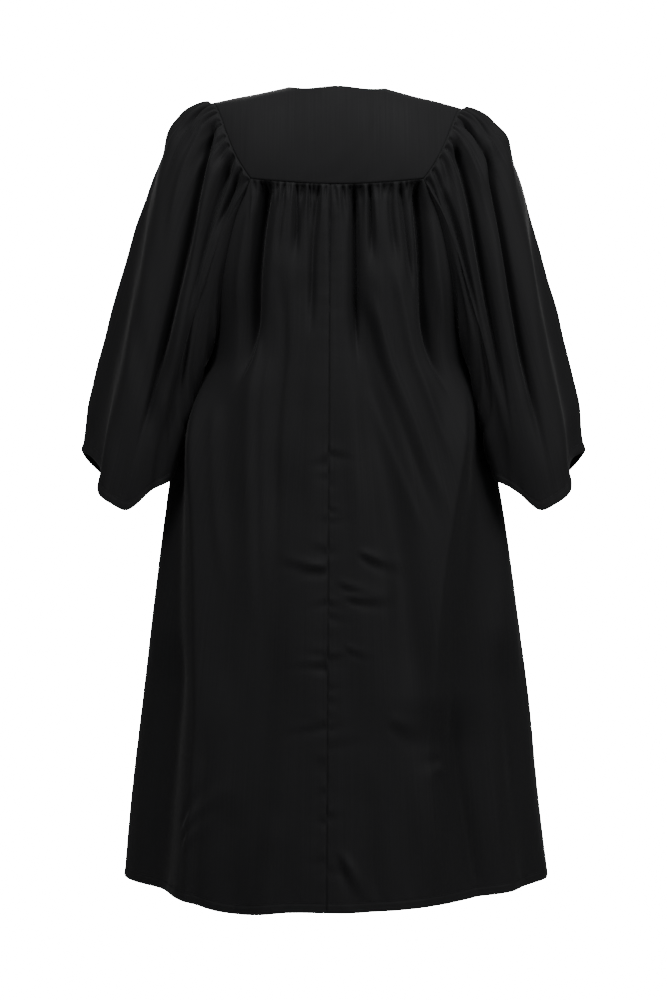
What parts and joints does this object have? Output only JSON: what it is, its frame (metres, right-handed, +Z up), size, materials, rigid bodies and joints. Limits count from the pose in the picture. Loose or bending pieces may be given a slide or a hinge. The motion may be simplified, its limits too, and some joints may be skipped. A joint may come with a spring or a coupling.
{
  "type": "choir gown",
  "caption": "Full-length black choir gown, worn and hollow, with a smooth yoke, gathered panels, wide bell sleeves and a front zip.",
  "frame": {"origin": "between the shoulders, level with the sides of the neck, where the wearer holds the gown up", "axes": "+Z up, the gown's front faces -Y and its back faces +Y, +X is the wearer's left"},
  "size_m": [0.8208, 0.4344, 1.2646],
  "materials": {
    "cloth": "matt black woven polyester with a faint satin sheen",
    "zip_tape": "black woven tape with a black nylon chain",
    "zip_metal": "black enamelled metal"
  },
  "bodies": {
    "gown": {"yoke_back": "cloth", "yoke_front_left": "cloth", "yoke_front_right": "cloth", "back_left": "cloth", "back_right": "cloth", "front_left": "cloth", "front_right": "cloth", "sleeve_left": "cloth", "sleeve_right": "cloth", "zip": "zip_tape", "zip_slider": "zip_metal"},
    "pull_tab": {"zip_pull": "zip_metal"}
  },
  "joints": [
    {"name": "pull_tab_hinge", "type": "hinge", "parent": "gown", "child": "pull_tab", "pos_m": [0, -0.10206, -0.12155], "axis": [-1, 0, 0], "range_deg": [0, 160]}
  ]
}
